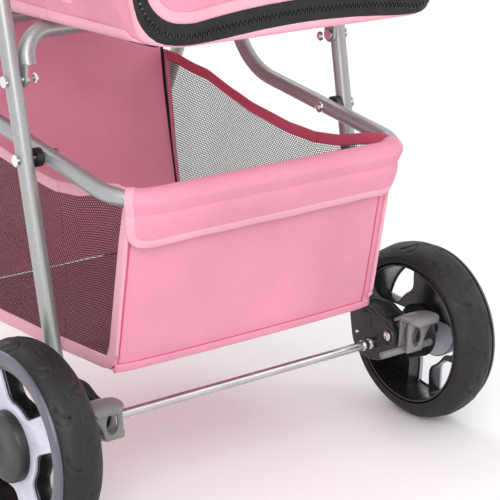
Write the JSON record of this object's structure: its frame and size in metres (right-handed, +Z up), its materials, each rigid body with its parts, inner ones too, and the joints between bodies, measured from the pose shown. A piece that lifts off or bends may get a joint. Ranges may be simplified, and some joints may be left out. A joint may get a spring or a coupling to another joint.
{
  "type": "pet stroller",
  "caption": "Folding pet stroller with a steel tube frame, fabric cabin with canopy and doors, fabric storage basket, braked rear wheels and swivelling front wheels.",
  "frame": {"origin": "centre of the box around the whole stroller, on the floor", "axes": "+Y the way it rolls forward, +X its right-hand side, +Z up"},
  "size_m": [0.5404, 0.7516, 1.0019],
  "materials": {
    "frame_paint": "satin grey paint",
    "black_plastic": "moulded, fine grain",
    "grey_plastic": "moulded, satin",
    "steel": "bright plated",
    "axle_steel": "drawn rod",
    "pink_fabric": "woven polyester",
    "mesh": "open knitted mesh",
    "board": "covered board",
    "tyre": "foam rubber, moulded tread",
    "rim": "moulded",
    "wheel_cover": "silver lacquer",
    "foam": "foam sleeve"
  },
  "bodies": {
    "chassis": {"front_leg_left": "frame_paint", "front_leg_right": "frame_paint", "front_cross_tube": "frame_paint", "caster_socket_left": "black_plastic", "caster_socket_right": "black_plastic", "hub_housing_left": "black_plastic", "hub_housing_right": "black_plastic", "hub_pins": "steel", "cabin_shell": "pink_fabric", "cabin_floor_board": "board"},
    "rear_frame": {"rear_leg_left": "frame_paint", "rear_leg_right": "frame_paint", "leg_bracket_left": "black_plastic", "leg_bracket_right": "black_plastic", "rear_axle": "axle_steel", "rear_cross_tube": "frame_paint", "basket_spacers": "black_plastic", "frame_rivets": "steel", "brake_pins": "steel"},
    "rear_wheel_left": {"rear_tyre_left": "tyre", "rear_rim_left": "rim", "rear_cover_left": "wheel_cover", "rear_cap_left": "black_plastic"},
    "rear_wheel_right": {"rear_tyre_right": "tyre", "rear_rim_right": "rim", "rear_cover_right": "wheel_cover", "rear_cap_right": "black_plastic"},
    "brake_left": {"brake_lever_left": "grey_plastic"},
    "brake_right": {"brake_lever_right": "grey_plastic"},
    "basket_frame": {"basket_tube": "frame_paint", "basket_fabric": "pink_fabric"},
    "link_slider": {"link_collars": "black_plastic"},
    "handle": {"handle_tube": "frame_paint", "handle_grip": "foam", "handle_socket_left": "black_plastic", "handle_socket_right": "black_plastic", "cup_tray": "black_plastic"},
    "latch_left": {"latch_collar_left": "grey_plastic"},
    "latch_right": {"latch_collar_right": "grey_plastic"},
    "canopy": {"canopy_bow": "steel", "canopy_fabric": "pink_fabric"},
    "rear_door": {"rear_door": "pink_fabric"},
    "front_door": {"front_door": "mesh"},
    "caster_left": {"caster_fork_left": "black_plastic", "front_axle_left": "steel"},
    "caster_right": {"caster_fork_right": "black_plastic", "front_axle_right": "steel"},
    "front_wheel_left": {"front_tyre_left": "tyre", "front_rim_left": "rim", "front_cover_left": "wheel_cover"},
    "front_wheel_right": {"front_tyre_right": "tyre", "front_rim_right": "rim", "front_cover_right": "wheel_cover"}
  },
  "joints": [
    {"name": "frame_fold", "type": "hinge", "parent": "chassis", "child": "rear_frame", "pos_m": [0, -0.02396, 0.65], "axis": [1, 0, 0], "range_deg": [0, 27.5], "deforming": ["basket_fabric"]},
    {"name": "basket_tube_pivot", "type": "hinge", "parent": "rear_frame", "child": "basket_frame", "pos_m": [0, -0.08437, 0.3337], "axis": [1, 0, 0], "range_deg": [0, 22]},
    {"name": "link_slide", "type": "slide", "parent": "chassis", "child": "link_slider", "axis": [0, -0.6801, 0.7331], "range_m": [0, 0.0855]},
    {"name": "handle_fold", "type": "hinge", "parent": "chassis", "child": "handle", "pos_m": [0, -0.02396, 0.65], "axis": [1, 0, 0], "range_deg": [0, 95]},
    {"name": "latch_left", "type": "slide", "parent": "handle", "child": "latch_left", "axis": [0, -0.7071, 0.7071], "range_m": [0, 0.012], "stiffness_N_per_m": 400, "springref_m": -0.004},
    {"name": "latch_right", "type": "slide", "parent": "handle", "child": "latch_right", "axis": [0, -0.7071, 0.7071], "range_m": [0, 0.012], "stiffness_N_per_m": 400, "springref_m": -0.004},
    {"name": "canopy_fold", "type": "hinge", "parent": "chassis", "child": "canopy", "pos_m": [0, -0.02396, 0.65], "axis": [1, 0, 0], "range_deg": [0, 62], "deforming": ["canopy_fabric"]},
    {"name": "rear_door_hinge", "type": "hinge", "parent": "chassis", "child": "rear_door", "pos_m": [0, -0.25896, 0.648], "axis": [-1, 0, 0], "range_deg": [0, 100]},
    {"name": "front_door_hinge", "type": "hinge", "parent": "chassis", "child": "front_door", "pos_m": [0, 0.28049, 0.62324], "axis": [-1, 0, 0], "range_deg": [0, 110]},
    {"name": "rear_wheel_spin_left", "type": "hinge", "parent": "rear_frame", "child": "rear_wheel_left", "pos_m": [-0.2383, -0.15917, 0.095], "axis": [1, 0, 0], "continuous": true},
    {"name": "brake_left", "type": "hinge", "parent": "rear_frame", "child": "brake_left", "pos_m": [-0.189, -0.18107, 0.1089], "axis": [1, 0, 0], "range_deg": [0, 25]},
    {"name": "caster_swivel_left", "type": "hinge", "parent": "chassis", "child": "caster_left", "pos_m": [-0.193, 0.32583, 0.18], "axis": [0, 0, 1], "continuous": true},
    {"name": "front_wheel_spin_left", "type": "hinge", "parent": "caster_left", "child": "front_wheel_left", "pos_m": [-0.193, 0.30084, 0.075], "axis": [1, 0, 0], "continuous": true},
    {"name": "rear_wheel_spin_right", "type": "hinge", "parent": "rear_frame", "child": "rear_wheel_right", "pos_m": [0.2383, -0.15917, 0.095], "axis": [1, 0, 0], "continuous": true},
    {"name": "brake_right", "type": "hinge", "parent": "rear_frame", "child": "brake_right", "pos_m": [0.189, -0.18107, 0.1089], "axis": [1, 0, 0], "range_deg": [0, 25]},
    {"name": "caster_swivel_right", "type": "hinge", "parent": "chassis", "child": "caster_right", "pos_m": [0.193, 0.32583, 0.18], "axis": [0, 0, 1], "continuous": true},
    {"name": "front_wheel_spin_right", "type": "hinge", "parent": "caster_right", "child": "front_wheel_right", "pos_m": [0.193, 0.30084, 0.075], "axis": [1, 0, 0], "continuous": true}
  ],
  "couplings": [
    {"joint": "basket_tube_pivot", "follows": "frame_fold", "ratio": 0.7865},
    {"joint": "link_slide", "follows": "frame_fold", "m_per_rad": 0.1776}
  ]
}
